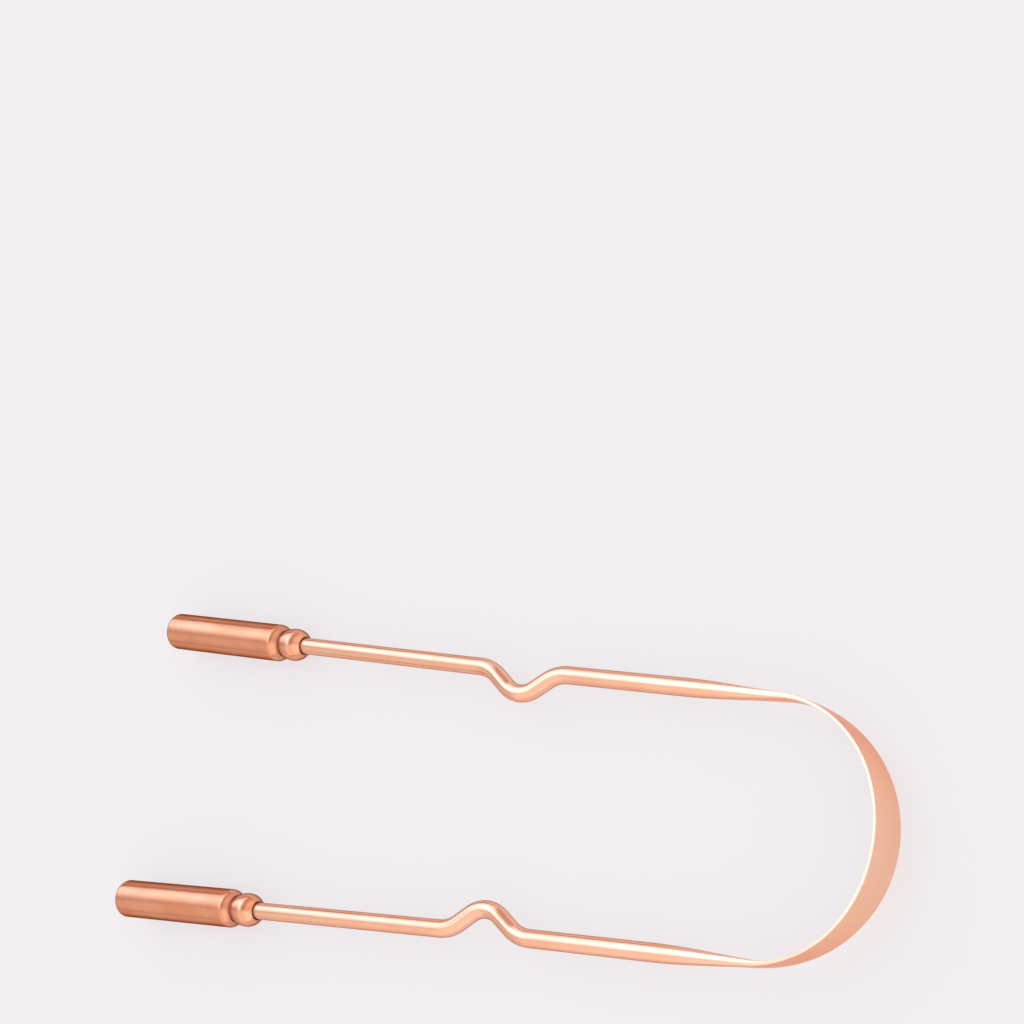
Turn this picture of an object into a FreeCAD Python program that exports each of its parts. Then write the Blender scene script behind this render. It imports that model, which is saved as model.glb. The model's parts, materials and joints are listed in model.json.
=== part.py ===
import FreeCAD, Part
import math
import os

V = FreeCAD.Vector

# Sizes in millimetres and degrees.
# Wire and the band rolled in its middle
wire_d = 2.64            # drawn round wire
band_w = 7.6             # band width at the middle of the bow
band_t = 0.55            # band thickness
edge_round = 0.06        # radius on the corners of the band
bow_r = 17.7             # bow radius to the middle of the band
flat_run = 15.8          # length of arm, next to the bow, that is flattened
flat_lead = 7.2          # length of bow, next to an arm, that still grows thinner

# Arms
arm_splay = 2.0          # outward lean of an arm between bow and pinch
grip_splay = 2.7         # outward lean of an arm between pinch and grip
pinch_from_bow = 43.6    # end of the bow to the middle of the pinch
pinch_to_grip = 43.96    # middle of the pinch to the mouth of the grip
pinch_depth = 3.4        # inward step of the pinch
pinch_straight = 2.47    # straight length of each flank
pinch_outer_r = 5.8      # bend radius where it leaves the arm
pinch_inner_r = 4.4      # bend radius at its tip
tail = 14.0              # wire inside the grip

# Turned grips
grip_d = 6.0             # main diameter
grip_body = 25.15        # free end to neck
end_round = 0.9          # edge radius at the free end
shoulder_lead = 1.4      # length of the round shoulder before the neck
neck_wall = 0.8          # metal left around the bore at the neck
neck_w = 0.15            # width of the neck
bead_rise = 0.45         # bead radius over neck radius
bead_lead = 2.175        # neck to the widest place of the bead
bore_clearance = 0.03    # radial gap around the wire
mouth_flare = 0.1        # radial flare at the mouth of the bore
mouth_land = 0.08        # flat ring left around the flare
mouth_depth = 0.25       # depth of the flare

# Flexing point between the bow and an arm
flex_r = 0.6             # half-round end of the arm
flex_gap = 0.06          # gap to the bow around it

# Fineness and shares
bow_steps = 24           # sections around the bow
flat_steps = 6           # sections along the flat run
taper_share = 0.75       # share of the flat run that is wider than the wire
side_angle = 22.5        # half the angle of a section's face and edge arcs when it is round

# Values that follow from the sizes.
wire_r = wire_d / 2
grip_r = grip_d / 2
bore_r = wire_r + bore_clearance
neck_r = bore_r + neck_wall
bead_r = neck_r + bead_rise
flare_r = bore_r + mouth_flare
mouth_r = flare_r + mouth_land
bead_x = grip_body + neck_w + bead_lead
mouth_x = bead_x + math.sqrt(bead_r**2 - mouth_r**2)
lean = math.radians(arm_splay)
kink = math.radians(grip_splay - arm_splay)
pinch_r = pinch_outer_r + pinch_inner_r
pinch_reach = math.hypot(pinch_r, pinch_straight)
flank = math.atan2(pinch_r, pinch_straight) - math.asin((pinch_r - pinch_depth) / pinch_reach)
bow_half_angle = math.pi / 2 - lean
bow_run = bow_r * bow_half_angle
mid_z = band_w / 2


def smooth(s):
    """0 to 1 with level ends."""
    return s * s * (3 - 2 * s)


def half_sizes(length):
    """Half width and half thickness of the wire at a length from the middle of the bow."""
    narrow = min(length / (bow_run + taper_share * flat_run), 1)
    thick = (length - bow_run + flat_lead) / (flat_run + flat_lead)
    thick = max(0, min(thick, 1))
    half_w = band_w / 2 + (wire_r - band_w / 2) * smooth(narrow)
    half_t = band_t / 2 + (wire_r - band_t / 2) * smooth(thick)
    return half_w, half_t


def section(length, point, across):
    """Closed section of eight tangent arcs at a length from the middle of the bow.
    The thickness runs across, the width runs along Z."""
    half_w, half_t = half_sizes(length)
    roundness = (half_t - band_t / 2) / (wire_r - band_t / 2)
    corner_r = edge_round + (half_t - edge_round) * roundness
    beta = math.radians(side_angle) * half_t / half_w
    inset_w = half_w - corner_r
    inset_t = half_t - corner_r
    crown = math.tan(beta / 2)
    edge_r = (inset_t - inset_w * crown) / (math.sin(beta) - crown * (1 - math.cos(beta)))
    corner_w = inset_w - edge_r * (1 - math.cos(beta))
    corner_t = edge_r * math.sin(beta)
    corner = []
    for angle in (beta, math.pi / 4, math.pi / 2 - beta):
        corner.append((corner_w + corner_r * math.cos(angle), corner_t + corner_r * math.sin(angle)))

    # Points in order, with every second one in the middle of an arc.
    ring = corner + [(0, half_t)]
    ring += [(-w, t) for w, t in reversed(corner)] + [(-half_w, 0)]
    ring += [(-w, -t) for w, t in corner] + [(0, -half_t)]
    ring += [(w, -t) for w, t in reversed(corner)] + [(half_w, 0)]
    spots = [point + V(0, 0, w) + across * t for w, t in ring]
    edges = []
    for i in range(0, len(spots), 2):
        edges.append(Part.Arc(spots[i], spots[i + 1], spots[(i + 2) % len(spots)]).toShape())
    return Part.Wire(edges)


def bow():
    """Flat band around the bow, ending short of both flexing points."""
    sections = []
    for i in range(bow_steps + 1):
        angle = (2.0 * i / bow_steps - 1) * bow_half_angle
        out = V(math.cos(angle), math.sin(angle), 0)
        sections.append(section(bow_r * abs(angle), out * bow_r, out))
    band = Part.makeLoft(sections, True, False)
    for side in (1, -1):
        hinge = V(bow_r * math.cos(bow_half_angle), side * bow_r * math.sin(bow_half_angle), -band_w)
        band = band.cut(Part.makeCylinder(flex_r + flex_gap, 2 * band_w, hinge))
    return band


def arc_edge(point, heading, radius, turn):
    """Arc that leaves point along heading and turns by turn. Gives edge, end point, end heading."""
    side = math.copysign(1, turn)
    centre = point + V(-math.sin(heading), math.cos(heading), 0) * (radius * side)

    def on(angle):
        h = heading + angle
        return centre - V(-math.sin(h), math.cos(h), 0) * (radius * side)

    return Part.Arc(point, on(turn / 2), on(turn)).toShape(), on(turn), heading + turn


def arm_line():
    """Middle line of an arm from the round end of the flat run to the wire's end.
    Gives its edges, the grip's mouth and the heading there."""
    half = pinch_r * math.sin(flank) + pinch_straight * math.cos(flank)
    moves = [
        ("line", pinch_from_bow - flat_run - half),
        ("arc", pinch_outer_r, flank),
        ("line", pinch_straight),
        ("arc", pinch_inner_r, -2 * flank),
        ("line", pinch_straight),
        ("arc", pinch_outer_r, flank - kink),
        ("line", pinch_to_grip - half),
        ("line", tail),
    ]
    point = V(-flat_run, 0, 0)
    heading = math.pi
    edges = []
    mouth = point
    for move in moves:
        mouth = point
        if move[0] == "line":
            end = point + V(math.cos(heading), math.sin(heading), 0) * move[1]
            edges.append(Part.makeLine(point, end))
            point = end
        else:
            edge, point, heading = arc_edge(point, heading, move[1], move[2])
            edges.append(edge)
    # The last two lines are one straight length of wire.
    edges[-2:] = [Part.makeLine(edges[-2].Vertexes[0].Point, point)]
    return edges, mouth, heading


def arm(edges):
    """Arm along +X toward the bow, its flexing axis on the origin."""
    start = V(-flat_run, 0, 0)
    ring = Part.Wire(Part.makeCircle(wire_r, start, V(1, 0, 0)))
    wire = Part.Wire(edges).makePipeShell([ring], True, False)
    sections = []
    for i in range(flat_steps + 1):
        back = flat_run * (1 - i / flat_steps)
        sections.append(section(bow_run + back, V(-back, 0, 0), V(0, 1, 0)))
    run = Part.makeLoft(sections, True, False)
    nose = Part.Face(sections[-1]).extrude(V(2 * flex_r, 0, 0))
    nose = nose.common(Part.makeCylinder(flex_r, 2 * band_w, V(0, 0, -band_w)))
    return wire.fuse([run, nose])


def crown_middle(length, drop):
    """Middle of an arc that leaves its level top and falls by drop over length, from that top."""
    radius = (length**2 + drop**2) / (2 * drop)
    half_turn = math.atan2(length, radius - drop) / 2
    return radius * math.sin(half_turn), radius * (1 - math.cos(half_turn))


def grip():
    """Grip turned about X, free end at 0, mouth toward +X."""
    bore_x = mouth_x - tail
    r45 = math.sqrt(0.5)
    e = end_round
    flat_r = grip_r - e
    shoulder_x, shoulder_drop = crown_middle(shoulder_lead, grip_r - neck_r)
    lead_x, lead_drop = crown_middle(bead_lead, bead_rise)
    mouth_turn = math.acos(mouth_r / bead_r) / 2
    points = {
        "axis": V(0, 0, 0),
        "end": V(0, flat_r, 0),
        "end_mid": V(e - e * r45, flat_r + e * r45, 0),
        "body": V(e, grip_r, 0),
        "body_end": V(grip_body - shoulder_lead, grip_r, 0),
        "shoulder": V(grip_body - shoulder_lead + shoulder_x, grip_r - shoulder_drop, 0),
        "neck": V(grip_body, neck_r, 0),
        "neck_end": V(grip_body + neck_w, neck_r, 0),
        "bead_lead": V(bead_x - lead_x, bead_r - lead_drop, 0),
        "bead_top": V(bead_x, bead_r, 0),
        "bead_mouth": V(bead_x + bead_r * math.sin(mouth_turn), bead_r * math.cos(mouth_turn), 0),
        "mouth": V(mouth_x, mouth_r, 0),
        "flare": V(mouth_x, flare_r, 0),
        "bore": V(mouth_x - mouth_depth, bore_r, 0),
        "bore_end": V(bore_x, bore_r, 0),
        "bore_axis": V(bore_x, 0, 0),
    }

    def line(a, b):
        return Part.makeLine(points[a], points[b])

    def arc(a, b, c):
        return Part.Arc(points[a], points[b], points[c]).toShape()

    edges = [
        line("axis", "end"),
        arc("end", "end_mid", "body"),
        line("body", "body_end"),
        arc("body_end", "shoulder", "neck"),
        line("neck", "neck_end"),
        arc("neck_end", "bead_lead", "bead_top"),
        arc("bead_top", "bead_mouth", "mouth"),
        line("mouth", "flare"),
        line("flare", "bore"),
        line("bore", "bore_end"),
        line("bore_end", "bore_axis"),
        line("bore_axis", "axis"),
    ]
    return Part.Face(Part.Wire(edges)).revolve(V(0, 0, 0), V(1, 0, 0), 360)


def placed(shape, spot, degrees):
    """Copy of shape turned about Z and moved to spot."""
    turned = shape.copy()
    turn = FreeCAD.Rotation(V(0, 0, 1), degrees)
    turned.Placement = FreeCAD.Placement(spot, turn).multiply(turned.Placement)
    return turned


def build():
    """All five pieces, bow to +X, lying on Z = 0, centred on X and Y."""
    edges, mouth, heading = arm_line()
    lead = heading - math.pi
    free_end = mouth + V(math.cos(heading), math.sin(heading), 0) * mouth_x
    hinge = V(bow_r * math.cos(bow_half_angle), bow_r * math.sin(bow_half_angle), 0)
    left_arm = placed(arm(edges), hinge, -arm_splay)
    left_grip = placed(grip(), free_end, math.degrees(lead))
    left_grip = placed(left_grip, hinge, -arm_splay)
    shapes = {
        "scraping_bow": bow(),
        "left_arm": left_arm,
        "right_arm": left_arm.mirror(V(0, 0, 0), V(0, 1, 0)),
        "left_grip": left_grip,
        "right_grip": left_grip.mirror(V(0, 0, 0), V(0, 1, 0)),
    }
    # The band's outer face leads at +X, the edge of a grip's free end at -X.
    splay = math.radians(grip_splay)
    end = placed(Part.Vertex(free_end), hinge, -arm_splay).Point
    back = end.x + end_round * math.cos(splay) - (grip_r - end_round) * math.sin(splay) - end_round
    front = bow_r + band_t / 2
    move = V(-(front + back) / 2, 0, mid_z)
    for name in shapes:
        shapes[name].translate(move)
    return shapes


os.makedirs("parts", exist_ok=True)
for name, shape in build().items():
    solid = shape.Solids[0]
    if not solid.isValid() or len(shape.Solids) != 1:
        raise ValueError("bad solid: " + name)
    solid.exportStep("parts/" + name + ".step")
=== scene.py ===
import json
import math

import bpy
import numpy as np
from mathutils import Matrix, Vector


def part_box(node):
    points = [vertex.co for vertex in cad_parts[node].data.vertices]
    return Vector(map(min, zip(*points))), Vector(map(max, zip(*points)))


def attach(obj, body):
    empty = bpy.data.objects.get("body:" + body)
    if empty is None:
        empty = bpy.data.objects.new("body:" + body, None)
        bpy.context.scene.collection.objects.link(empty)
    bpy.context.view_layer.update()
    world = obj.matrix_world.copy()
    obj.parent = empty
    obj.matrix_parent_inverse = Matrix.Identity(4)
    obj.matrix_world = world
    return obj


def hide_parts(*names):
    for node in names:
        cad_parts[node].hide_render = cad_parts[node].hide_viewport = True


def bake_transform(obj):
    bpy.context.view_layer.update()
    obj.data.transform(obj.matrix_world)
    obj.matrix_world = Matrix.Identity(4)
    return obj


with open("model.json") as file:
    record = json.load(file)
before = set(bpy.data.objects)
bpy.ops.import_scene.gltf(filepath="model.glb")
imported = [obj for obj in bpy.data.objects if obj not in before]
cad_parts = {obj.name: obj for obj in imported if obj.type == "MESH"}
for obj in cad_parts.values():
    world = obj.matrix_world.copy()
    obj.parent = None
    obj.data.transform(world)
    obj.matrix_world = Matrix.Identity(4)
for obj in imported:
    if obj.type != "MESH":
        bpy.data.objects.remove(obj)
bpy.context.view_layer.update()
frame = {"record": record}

# Sizes in metres and degrees, the same as the CAD model's
MM = 0.001
wire_r = 1.32 * MM
band_t = 0.55 * MM
edge_round = 0.06 * MM
bow_r = 17.7 * MM
flat_run = 15.8 * MM
flat_lead = 7.2 * MM
arm_splay = 2.0
grip_splay = 2.7
pinch_from_bow = 43.6 * MM
pinch_to_grip = 43.96 * MM
pinch_depth = 3.4 * MM
pinch_straight = 2.47 * MM
pinch_outer_r = 5.8 * MM
pinch_inner_r = 4.4 * MM
tail = 14.0 * MM
grip_body = 25.15 * MM
end_round = 0.9 * MM
shoulder_lead = 1.4 * MM
neck_wall = 0.8 * MM
neck_w = 0.15 * MM
bead_rise = 0.45 * MM
bead_lead = 2.175 * MM
bore_clearance = 0.03 * MM
mouth_flare = 0.1 * MM
mouth_land = 0.08 * MM
mouth_depth = 0.25 * MM
taper_share = 0.75
side_angle = 22.5

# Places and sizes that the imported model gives
record = frame["record"]
bow_low, bow_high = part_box("scraping_bow")
grip_pin = next(m for m in record["mounts"] if m["name"] == "left_grip")
band_w = bow_high.z - bow_low.z
mid_z = (bow_high.z + bow_low.z) / 2
bow_x = bow_high.x - band_t / 2 - bow_r
grip_r = grip_pin["dims"]["r_mm"] * MM

# Values that follow from the sizes
bore_r = wire_r + bore_clearance
neck_r = bore_r + neck_wall
bead_r = neck_r + bead_rise
flare_r = bore_r + mouth_flare
mouth_r = flare_r + mouth_land
bead_x = grip_body + neck_w + bead_lead
mouth_x = bead_x + math.sqrt(bead_r**2 - mouth_r**2)
bow_angle = math.radians(90 - arm_splay)
bow_run = bow_r * bow_angle
pinch_r = pinch_outer_r + pinch_inner_r
pinch_reach = math.hypot(pinch_r, pinch_straight)
flank = math.atan2(pinch_r, pinch_straight) - math.asin((pinch_r - pinch_depth) / pinch_reach)
pinch_half = pinch_r * math.sin(flank) + pinch_straight * math.cos(flank)
kink = math.radians(grip_splay - arm_splay)

# Fineness of the meshes
flat_points = 14         # points on each face or edge arc of a section
corner_points = 8        # points on each corner arc of a section
bow_step = 0.35 * MM
bend_step = 0.25 * MM
straight_step = 0.8 * MM
lathe_points = 160
body_steps = 24
turn_step = math.radians(5)
sharp_angle = math.radians(35)

# Copper: bright and deep tones, a burnish tone, which on the band also paints it lighter as a painted
# reflection, and a tarnish tone, which also paints shade in the hollows; and tints at a slant, plain and
# where the burnish is, the plain ones set dark to paint shade on the rims
wire_tones = ((0.96, 0.55, 0.40), (0.945, 0.50, 0.35), (1.0, 0.66, 0.485), (0.50, 0.24, 0.16))
grip_tones = ((0.88, 0.41, 0.26), (0.80, 0.33, 0.195), (0.93, 0.48, 0.33), (0.50, 0.26, 0.18))
# The plain tints at a slant are set dark to paint shade on the rims; the others are lighter, where the
# burnish is
wire_rims = ((0.55, 0.34, 0.27), (0.92, 0.55, 0.45))
grip_rims = ((0.20, 0.12, 0.12), (0.50, 0.34, 0.28))
wire_roughness = 0.14
grip_roughness = 0.15

# Noises in the copper: scales in cycles per metre, and details
cloud_scale, cloud_detail = (140, 260, 260), 3
speck_scale, speck_detail = (1500, 1500, 1500), 2
drawn_scale = (60, 3200, 3200)
turned_scale = (3600, 90, 90)
line_detail = 3

# Ramps over a noise or a place: where they start and stop, and what they give at both if not 0 and 1
cloud_deep = (0.35, 0.75)
cloud_rough = (0.4, 0.7, 0.0, 0.05)
speck_deep = (0.6, 0.8)
line_range = (0.3, 0.7)
bead_burnish = (0.3 * MM, 1.6 * MM, 0.5, 0.0)
end_burnish = (0.2 * MM, 1.4 * MM, 0.35, 0.0)
# Neck tarnish, which also paints shade in the neck
neck_tarnish_and_shade = (0.8 * MM, 0.05 * MM)

# Amounts and reaches of the copper's marks
speck_share = 0.25
line_rough = 0.07
hollow_rough = 0.25
bump_strength = 0.12
bump_depth = 0.02 * MM
# The band's burnish, which also paints it lighter as a painted reflection, stays full to this far past the
# bow
burnish_and_sheen_past_bow = 2 * MM
# Tarnish where the wire goes into a grip, which also paints shade at the join
entry_before = 0.9 * MM
entry_past = 0.1 * MM
entry_share = 0.9
# Tarnish at a grip's mouth, which also paints shade there
lip_outside = 0.25 * MM
lip_inside = 0.02 * MM
lip_lead = 0.5 * MM
# Share of the tarnish tone in the hollows, which also paints shade there
hollow_share = 0.6

# Floor
floor_size = 8.0
floor_colour = (0.76, 0.755, 0.79)
floor_roughness = 0.7
floor_specular = 0.1
pale_colour = (0.92, 0.90, 0.93)
pale_share = 0.68

# Light of the world, in ramps over the X, Y or Z of the direction, as above
softbox_tint = (0.93, 1.0, 1.18)
room_tint = (1.0, 0.93, 0.85)
far_tint = (1.0, 0.79, 0.65)
least_height = 0.05
softbox_from = -0.3                           # over Y divided by Z
softbox_edge = (-0.74, -0.56, 0.75, 0.0)      # over X, gives the Y divided by Z of full strength
softbox_end = (-0.1, -0.65)                   # over X divided by Z
softbox_rise = (0.02, 0.3)                    # over Z
softbox_side = (0.48, 0.92, 1.0, 0.3)         # over Y
power_rear = (-0.72, -0.48, 1.2, 1.7)         # over X
power_side = (0.1, 0.55, 0.0, 0.4)            # over Y
near_side = (-0.36, 0.04, 1.0, 0.0)           # over Y
near_rear = (-0.74, -0.5, 0.36, 0.64)         # over X
low_dim = (0.02, 0.3, 0.4, 1.0)               # over Z
low_rear = (-0.7, -0.55)                      # over X
front_light = (0.0, 0.5, 0.0, 0.5)            # over X
room_level = 0.45
far_side = (0.1, 0.6)                         # over Y
far_rear = (-0.68, -0.3, 0.5, 1.3)            # over X
far_warm = (0.25, 0.7)                        # over Y

# Camera
camera_place = Vector((177.09, -19.11, 237.64)) * MM
camera_aim = Vector((-0.72, 43.60, 3.5)) * MM
picture_up = Vector((0.0005, 0.9661, 0.2583))
lens_length = 69.23
sensor_width = 36.0
nearest_seen = 10 * MM


def smooth(s):
    """0 to 1 with level ends."""
    return s * s * (3 - 2 * s)


def half_line():
    """Middle line of half the wire, from the front of the bow to the end inside a grip.
    Gives the length so far, the points and the heading at each station."""
    moves = [
        (bow_run, bow_angle, bow_step),
        (flat_run, 0, straight_step / 2),
        (pinch_from_bow - flat_run - pinch_half, 0, straight_step),
        (pinch_outer_r * flank, flank, bend_step),
        (pinch_straight, 0, bend_step),
        (2 * pinch_inner_r * flank, -2 * flank, bend_step),
        (pinch_straight, 0, bend_step),
        (pinch_outer_r * (flank - kink), flank - kink, bend_step),
        (pinch_to_grip - pinch_half + tail, 0, straight_step),
    ]
    length, point, heading = 0.0, Vector((bow_x + bow_r, 0)), math.pi / 2
    stations = [(length, point.x, point.y, heading)]
    for run, turn, spacing in moves:
        count = math.ceil(run / spacing)
        for i in range(1, count + 1):
            done = turn * i / count
            chord = run * i / count
            if turn:
                chord *= math.sin(done / 2) / (done / 2)
            way = heading + done / 2
            spot = point + Vector((math.cos(way), math.sin(way))) * chord
            stations.append((length + run * i / count, spot.x, spot.y, heading + done))
        length, heading = length + run, heading + turn
        point = Vector(stations[-1][1:3])
    return np.array(stations)


def section_sizes(length):
    """Half width and half thickness of the wire at each length from the front of the bow."""
    narrow = np.clip(length / (bow_run + taper_share * flat_run), 0, 1)
    thick = np.clip((length - bow_run + flat_lead) / (flat_run + flat_lead), 0, 1)
    half_w = band_w / 2 + (wire_r - band_w / 2) * smooth(narrow)
    half_t = band_t / 2 + (wire_r - band_t / 2) * smooth(thick)
    return half_w, half_t


def section_points(half_w, half_t):
    """Rings of eight tangent arcs: offsets along the width and the thickness, with their normals."""
    half_w, half_t = half_w[:, None], half_t[:, None]
    roundness = (half_t - band_t / 2) / (wire_r - band_t / 2)
    corner_r = edge_round + (half_t - edge_round) * roundness
    beta = math.radians(side_angle) * half_t / half_w
    inset_w, inset_t = half_w - corner_r, half_t - corner_r
    half_tan = np.tan(beta / 2)
    edge_r = (inset_t - inset_w * half_tan) / (np.sin(beta) - half_tan * (1 - np.cos(beta)))
    face_r = (inset_w - edge_r * (1 - np.cos(beta))) / np.sin(beta)
    flat = np.linspace(-1, 1, flat_points, endpoint=False)[None] * beta
    corner = beta + np.linspace(0, 1, corner_points, endpoint=False)[None] * (math.pi / 2 - 2 * beta)
    edge = (inset_w - edge_r + edge_r * np.cos(flat), edge_r * np.sin(flat), flat)
    near_corner = (face_r * np.sin(beta), edge_r * np.sin(beta), corner)
    face = (-face_r * np.sin(flat), inset_t - face_r + face_r * np.cos(flat), math.pi / 2 + flat)
    far_corner = (-near_corner[0], near_corner[1], corner + math.pi / 2)
    half = []
    for w, t, angle in (edge, near_corner, face, far_corner):
        half.append((w + corner_r * np.cos(angle), t + corner_r * np.sin(angle), angle))
    w, t, angle = (np.hstack([part[i] for part in half]) for i in range(3))
    return [np.hstack([v, -v]) for v in (w, t, np.cos(angle), np.sin(angle))]


def add_mesh(name, points, faces, grain):
    """Smooth mesh object; grain is a vector per point that the materials follow."""
    mesh = bpy.data.meshes.new(name)
    mesh.from_pydata(points.tolist(), [], faces)
    mesh.polygons.foreach_set("use_smooth", [True] * len(mesh.polygons))
    attribute = mesh.attributes.new("grain", "FLOAT_VECTOR", "POINT")
    attribute.data.foreach_set("vector", grain.astype(np.float32).ravel())
    piece = bpy.data.objects.new(name, mesh)
    bpy.context.scene.collection.objects.link(piece)
    return piece


def grid_faces(rows, columns):
    """Quads of a tube of rings, and the two end caps."""
    faces = []
    for i in range(rows - 1):
        for j in range(columns):
            k = (j + 1) % columns
            faces.append((i * columns + j, i * columns + k, (i + 1) * columns + k, (i + 1) * columns + j))
    last = (rows - 1) * columns
    faces.append(tuple(reversed(range(columns))))
    faces.append(tuple(range(last, last + columns)))
    return faces


def wire_half(name, side):
    """Half of the wire, from the front of the bow to its end inside a grip. side is 1 left, -1 right.
    Its grain is the length along the wire and the offsets along the width and the thickness."""
    length, x, y, heading = half_line().T
    half_w, half_t = section_sizes(length)
    w, t, normal_w, normal_t = section_points(half_w, half_t)
    rows, columns = w.shape
    across = np.stack([np.sin(heading), -np.cos(heading)], 1)
    points = np.empty((rows, columns, 3))
    points[..., 0] = x[:, None] + across[:, :1] * t
    points[..., 1] = y[:, None] + across[:, 1:] * t
    points[..., 2] = mid_z + w
    normals = np.empty_like(points)
    normals[..., 0] = across[:, :1] * normal_t
    normals[..., 1] = across[:, 1:] * normal_t
    normals[..., 2] = normal_w
    along = np.gradient(points, length, axis=0)
    # At the front the wire runs along Y, so that the two halves meet without a crease
    along[0, :, [0, 2]] = 0
    along /= np.linalg.norm(along, axis=2, keepdims=True)
    normals -= along * (normals * along).sum(2, keepdims=True)
    normals /= np.linalg.norm(normals, axis=2, keepdims=True)
    grain = np.stack([np.repeat(length[:, None], columns, 1), w, t], 2)
    for v in (points, normals):
        v[..., 1] *= side
    faces = grid_faces(rows, columns)
    if side < 0:
        faces = [tuple(reversed(f)) for f in faces]
    piece = add_mesh(name, points.reshape(-1, 3), faces, grain.reshape(-1, 3))
    corner_normals = normals.reshape(-1, 3)[[v for f in faces for v in f]]
    corner_normals[-2 * columns:-columns] = (0, -side, 0)
    corner_normals[-columns:] = (math.cos(heading[-1]), side * math.sin(heading[-1]), 0)
    piece.data.normals_split_custom_set(corner_normals.tolist())
    return piece


def crown(length, drop):
    """Radius and turn of an arc that leaves its level top and falls by drop over length."""
    radius = (length**2 + drop**2) / (2 * drop)
    return radius, math.atan2(length, radius - drop)


def turned_profile():
    """Outline of a grip as (place along the axis, radius), from the middle of the free end to the bore's."""
    outline = [(0.0, 0.0), (0.0, grip_r - end_round)]

    def arc(cx, cr, r, start, stop):
        """Arc that goes on from the last point, which is its start."""
        count = math.ceil(abs(stop - start) / turn_step)
        for i in range(1, count + 1):
            a = start + (stop - start) * i / count
            outline.append((cx + r * math.cos(a), cr + r * math.sin(a)))

    quarter = math.pi / 2
    arc(end_round, grip_r - end_round, end_round, math.pi, quarter)
    body_from, body_to = end_round, grip_body - shoulder_lead
    for i in range(1, body_steps + 1):
        outline.append((body_from + (body_to - body_from) * i / body_steps, grip_r))
    shoulder_r, shoulder_turn = crown(shoulder_lead, grip_r - neck_r)
    arc(body_to, grip_r - shoulder_r, shoulder_r, quarter, quarter - shoulder_turn)
    outline.append((grip_body + neck_w, neck_r))
    lead_r, lead_turn = crown(bead_lead, bead_rise)
    arc(bead_x, bead_r - lead_r, lead_r, quarter + lead_turn, quarter)
    arc(bead_x, 0, bead_r, quarter, math.asin(mouth_r / bead_r))
    outline.append((mouth_x, flare_r))
    outline.append((mouth_x - mouth_depth, bore_r))
    outline.append((mouth_x - tail, bore_r))
    outline.append((mouth_x - tail, 0.0))
    return outline


def turned_grip(name, side):
    """A grip turned about its axis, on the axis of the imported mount. side is 1 left, -1 right.
    Its grain is the place along the axis from the free end and two offsets square to the axis."""
    outline = turned_profile()
    rim = outline[1:-1]
    middle = Vector(grip_pin["pos_m"])
    axis = -Vector(grip_pin["axis"])
    span = grip_pin["dims"]["length_mm"] * MM
    start = middle - axis * (end_round + span / 2)
    up = Vector((0, 0, 1))
    out = up.cross(axis)
    points, grain = [], []
    for x, r in rim:
        for j in range(lathe_points):
            a = 2 * math.pi * j / lathe_points
            radial = out * math.cos(a) + up * math.sin(a)
            points.append(start + axis * x + radial * r)
            grain.append((x, r * math.cos(a), r * math.sin(a)))
    faces = grid_faces(len(rim), lathe_points)[:-2]
    for x, ring in ((outline[0][0], 0), (outline[-1][0], len(rim) - 1)):
        points.append(start + axis * x)
        grain.append((x, 0, 0))
        centre = len(points) - 1
        for j in range(lathe_points):
            k = (j + 1) % lathe_points
            pair = (ring * lathe_points + j, ring * lathe_points + k)
            faces.append((centre, pair[1], pair[0]) if ring == 0 else (centre, pair[0], pair[1]))
    points = np.array(points)
    points[:, 1] *= side
    if side > 0:
        faces = [tuple(reversed(f)) for f in faces]
    piece = add_mesh(name, points, faces, np.array(grain))
    piece.data.set_sharp_from_angle(angle=sharp_angle)
    return piece


def add(tree, kind, sockets=(), **settings):
    """Node of a kind; sockets gives a value or a link for inputs by name or number."""
    made = tree.nodes.new(kind)
    for key, value in settings.items():
        setattr(made, key, value)
    for key, value in dict(sockets).items():
        if isinstance(value, bpy.types.NodeSocket):
            tree.links.new(value, made.inputs[key])
        else:
            made.inputs[key].default_value = value
    return made


def calc(tree, operation, a, b=0.0):
    """Number worked out from one or two numbers or links."""
    return add(tree, "ShaderNodeMath", {0: a, 1: b}, operation=operation).outputs[0]


def distance(tree, value, place):
    """Distance of a number from a place on its scale."""
    return calc(tree, "ABSOLUTE", calc(tree, "SUBTRACT", value, place))


def split(tree, vector):
    """The three numbers of a vector."""
    return add(tree, "ShaderNodeSeparateXYZ", {0: vector}).outputs


def step(tree, value, low, high, out_low=0.0, out_high=1.0):
    """Number that runs smoothly from out_low to out_high as value goes from low to high."""
    sockets = {"Value": value, "From Min": low, "From Max": high, "To Min": out_low, "To Max": out_high}
    return add(tree, "ShaderNodeMapRange", sockets, interpolation_type="SMOOTHSTEP").outputs[0]


def noise(tree, vector, scale, detail):
    """Noise from 0 to 1, with a scale for each axis in cycles per metre."""
    stretched = add(tree, "ShaderNodeVectorMath", {0: vector, 1: scale}, operation="MULTIPLY").outputs[0]
    sockets = {"Vector": stretched, "Scale": 1.0, "Detail": detail}
    return add(tree, "ShaderNodeTexNoise", sockets).outputs["Fac"]


def blend_colour(tree, factor, a, b):
    """Colour between a and b."""
    return add(tree, "ShaderNodeMix", {0: factor, 6: a, 7: b}, data_type="RGBA").outputs[2]


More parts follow.
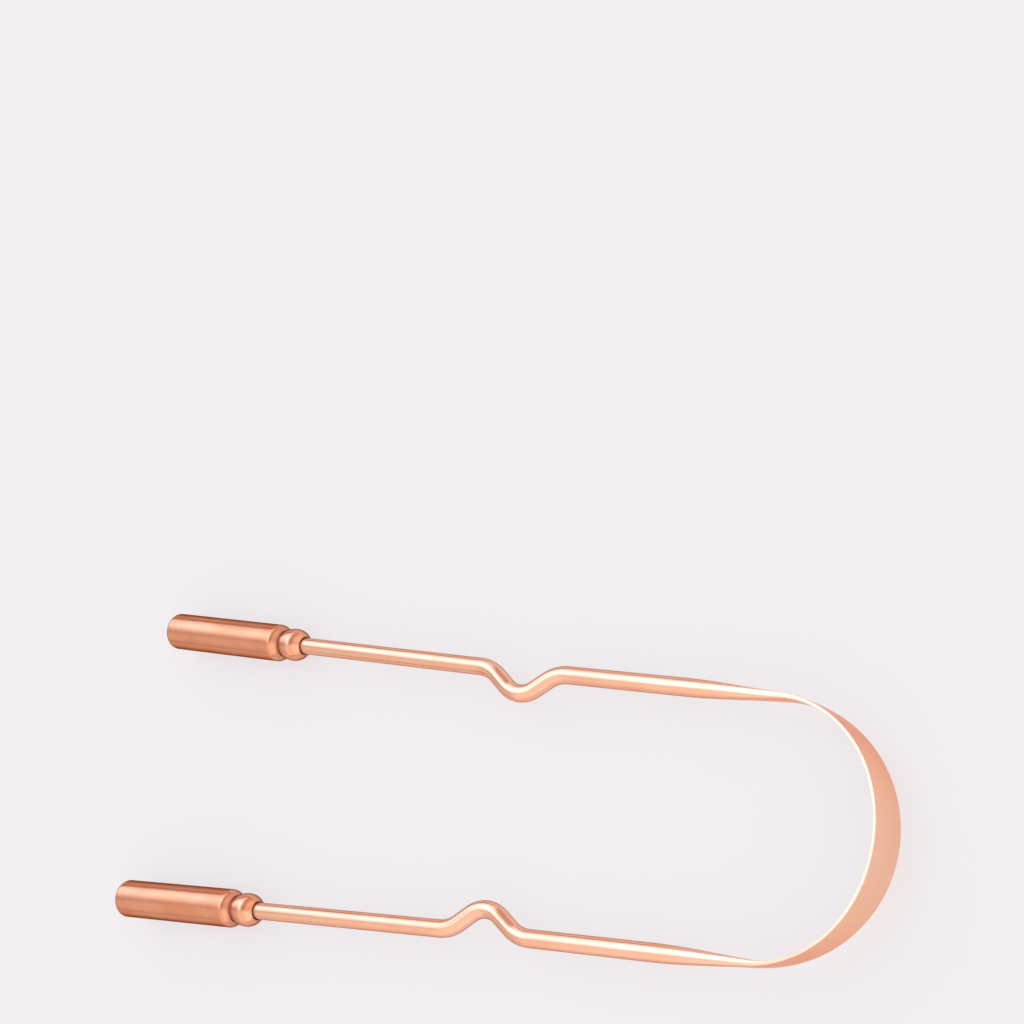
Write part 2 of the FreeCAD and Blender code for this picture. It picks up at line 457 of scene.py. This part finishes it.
def copper(name, tones, roughness, rims, lines_at, recess, wear_and_sheen_at):
    """Polished copper. lines_at gives the tool lines' vector and scale, recess the tarnish of hollows, which
    also paints shade there, and the last function the burnish, which on the band also paints it lighter as a
    painted reflection; all from the tree and the grain."""
    bright, deep, burnish_and_sheen, tarnish_and_shade = [(*tone, 1) for tone in tones]
    rim, burnish_and_sheen_rim = [(*tint, 1) for tint in rims]
    material = bpy.data.materials.new(name)
    material.use_nodes = True
    tree = material.node_tree
    shader = tree.nodes["Principled BSDF"]
    grain = add(tree, "ShaderNodeAttribute", attribute_name="grain").outputs["Vector"]
    cloud = noise(tree, grain, cloud_scale, cloud_detail)
    speck = noise(tree, grain, speck_scale, speck_detail)
    lines = noise(tree, *lines_at(tree, grain), line_detail)
    hollow = recess(tree, grain)
    wear_and_sheen = wear_and_sheen_at(tree, grain)
    tone = blend_colour(tree, step(tree, cloud, *cloud_deep), bright, deep)
    # Burnish: wear on the grips; on the band it also paints the copper lighter, a painted reflection
    tone = blend_colour(tree, wear_and_sheen, tone, burnish_and_sheen)
    faint = calc(tree, "MULTIPLY", step(tree, speck, *speck_deep), speck_share)
    tone = blend_colour(tree, faint, tone, deep)
    # Tarnish in the hollows, which also paints shade there
    tone = blend_colour(tree, hollow, tone, tarnish_and_shade)
    tree.links.new(tone, shader.inputs["Base Color"])
    dull = step(tree, lines, *line_range, roughness, roughness + line_rough)
    dull = calc(tree, "ADD", dull, step(tree, cloud, *cloud_rough))
    dull = calc(tree, "ADD", dull, calc(tree, "MULTIPLY", hollow, hollow_rough))
    tree.links.new(dull, shader.inputs["Roughness"])
    bump = add(tree, "ShaderNodeBump", {"Strength": bump_strength, "Distance": bump_depth, "Height": lines})
    tree.links.new(bump.outputs[0], shader.inputs["Normal"])
    shader.inputs["Metallic"].default_value = 1
    # Tint at a slant: the plain tint is set dark to paint shade on the rims, lighter where the burnish is
    tree.links.new(blend_colour(tree, wear_and_sheen, rim, burnish_and_sheen_rim), shader.inputs["Specular Tint"])
    return material


def band_burnish_and_sheen(tree, grain):
    """Burnish of the band that the bow is rolled to, which also paints the band lighter as a painted
    reflection, and fades along the flat run.
    """
    length = split(tree, grain)[0]
    return step(tree, length, bow_run + burnish_and_sheen_past_bow, bow_run + flat_run, 1.0, 0.0)


def grip_wear(tree, grain):
    """Burnish around the bead and on the edge of the free end."""
    x = split(tree, grain)[0]
    bead = step(tree, distance(tree, x, bead_x), *bead_burnish)
    return calc(tree, "MAXIMUM", bead, step(tree, x, *end_burnish))


def drawn_lines(tree, grain):
    """Lines along the wire."""
    return grain, drawn_scale


def wire_hollow(tree, grain):
    """Tarnish where the wire goes into a grip, which also paints shade at the join."""
    length = split(tree, grain)[0]
    mouth = half_line()[-1, 0] - tail
    return step(tree, length, mouth - entry_before, mouth + entry_past, 0.0, entry_share)


def ring_place(tree, grain):
    """Place along the axis of a grip, and the radius there."""
    x, c, s = split(tree, grain)
    square = calc(tree, "ADD", calc(tree, "MULTIPLY", c, c), calc(tree, "MULTIPLY", s, s))
    return x, calc(tree, "SQRT", square)


def turned_lines(tree, grain):
    """Rings around a grip and on its end."""
    x, radius = ring_place(tree, grain)
    along = calc(tree, "ADD", x, radius)
    c, s = split(tree, grain)[1:]
    return add(tree, "ShaderNodeCombineXYZ", {0: along, 1: c, 2: s}).outputs[0], turned_scale


def grip_hollow(tree, grain):
    """Tarnish in the neck and at the mouth of a grip, which also paints shade in these hollows."""
    x, radius = ring_place(tree, grain)
    neck = step(tree, distance(tree, x, grip_body + neck_w / 2), *neck_tarnish_and_shade)
    mouth = step(tree, radius, mouth_r + lip_outside, mouth_r - lip_inside)
    mouth = calc(tree, "MULTIPLY", mouth, step(tree, x, bead_x, bead_x + lip_lead))
    return calc(tree, "MULTIPLY", calc(tree, "MAXIMUM", neck, mouth), hollow_share)


# The scraper
wire_copper = copper("copper_wire", wire_tones, wire_roughness, wire_rims,
                     drawn_lines, wire_hollow, band_burnish_and_sheen)
grip_copper = copper("copper_grip", grip_tones, grip_roughness, grip_rims,
                     turned_lines, grip_hollow, grip_wear)

for side, word in ((1, "left"), (-1, "right")):
    half = wire_half(word + "_wire", side)
    half.data.materials.append(wire_copper)
    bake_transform(half)
    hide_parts("scraping_bow", word + "_arm")
    grip = turned_grip(word + "_turned_grip", side)
    grip.data.materials.append(grip_copper)
    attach(grip, word + "_side")
    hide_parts(word + "_grip")

# The floor, which the camera and reflections see paler than it is lit
floor_mesh = bpy.data.meshes.new("floor")
corners = [(-1, -1), (1, -1), (1, 1), (-1, 1)]
floor_mesh.from_pydata([(x * floor_size / 2, y * floor_size / 2, 0) for x, y in corners], [], [(0, 1, 2, 3)])
floor = bpy.data.objects.new("floor", floor_mesh)
bpy.context.scene.collection.objects.link(floor)
floor_material = bpy.data.materials.new("floor")
floor_material.use_nodes = True
tree = floor_material.node_tree
floor_shader = tree.nodes["Principled BSDF"]
floor_shader.inputs["Base Color"].default_value = (*floor_colour, 1)
floor_shader.inputs["Roughness"].default_value = floor_roughness
floor_shader.inputs["Specular IOR Level"].default_value = floor_specular
path = add(tree, "ShaderNodeLightPath").outputs
seen = calc(tree, "MAXIMUM", path["Is Camera Ray"], path["Is Glossy Ray"])
seen = calc(tree, "MAXIMUM", seen, path["Is Transmission Ray"])
pale = add(tree, "ShaderNodeEmission", {"Color": (*pale_colour, 1)})
shares = {0: calc(tree, "MULTIPLY", seen, pale_share), 1: floor_shader.outputs[0], 2: pale.outputs[0]}
floor_mix = add(tree, "ShaderNodeMixShader", shares)
tree.links.new(floor_mix.outputs[0], tree.nodes["Material Output"].inputs["Surface"])
floor_mesh.materials.append(floor_material)

# The world: an overhead softbox toward -X and +Y, and a room that is lighter toward -Y and +X
world = bpy.data.worlds.new("studio")
bpy.context.scene.world = world
world.use_nodes = True
tree = world.node_tree
tree.nodes.clear()
direction = add(tree, "ShaderNodeTexCoord").outputs["Generated"]
dx, dy, dz = split(tree, direction)
height = calc(tree, "MAXIMUM", dz, least_height)
px = calc(tree, "DIVIDE", dx, height)
py = calc(tree, "DIVIDE", dy, height)
full_at = step(tree, dx, *softbox_edge)
box = calc(tree, "MULTIPLY", step(tree, py, softbox_from, full_at), step(tree, dz, *softbox_rise))
box = calc(tree, "MULTIPLY", box, step(tree, px, *softbox_end))
box = calc(tree, "MULTIPLY", box, step(tree, dy, *softbox_side))
power = calc(tree, "ADD", step(tree, dx, *power_rear), step(tree, dy, *power_side))
softbox = calc(tree, "MULTIPLY", box, power)
near = calc(tree, "MULTIPLY", step(tree, dy, *near_side), step(tree, dx, *near_rear))
low = calc(tree, "MAXIMUM", step(tree, dz, *low_dim), step(tree, dx, *low_rear))
near = calc(tree, "MULTIPLY", near, low)
front = step(tree, dx, *front_light)
room = calc(tree, "ADD", calc(tree, "ADD", near, room_level), front)
far_level = step(tree, dx, *far_rear)
room = calc(tree, "MULTIPLY", room, step(tree, dy, *far_side, 1.0, far_level))
room_colour = blend_colour(tree, step(tree, dy, *far_warm), (*room_tint, 1), (*far_tint, 1))
lights = []
for tint, amount in ((softbox_tint, softbox), (room_colour, room)):
    lights.append(add(tree, "ShaderNodeVectorMath", {0: tint, "Scale": amount}, operation="SCALE").outputs[0])
light = add(tree, "ShaderNodeVectorMath", {0: lights[0], 1: lights[1]}, operation="ADD").outputs[0]
background = add(tree, "ShaderNodeBackground", {"Color": light})
add(tree, "ShaderNodeOutputWorld", {"Surface": background.outputs[0]})

# The camera
camera_data = bpy.data.cameras.new("camera")
camera_data.lens = lens_length
camera_data.sensor_width = sensor_width
camera_data.clip_start = nearest_seen
camera = bpy.data.objects.new("camera", camera_data)
bpy.context.scene.collection.objects.link(camera)
ahead = (camera_aim - camera_place).normalized()
right = ahead.cross(picture_up).normalized()
above = right.cross(ahead)
camera.matrix_world = Matrix.Translation(camera_place) @ Matrix((right, above, -ahead)).transposed().to_4x4()
bpy.context.scene.camera = camera
bpy.context.scene.view_settings.view_transform = "Standard"
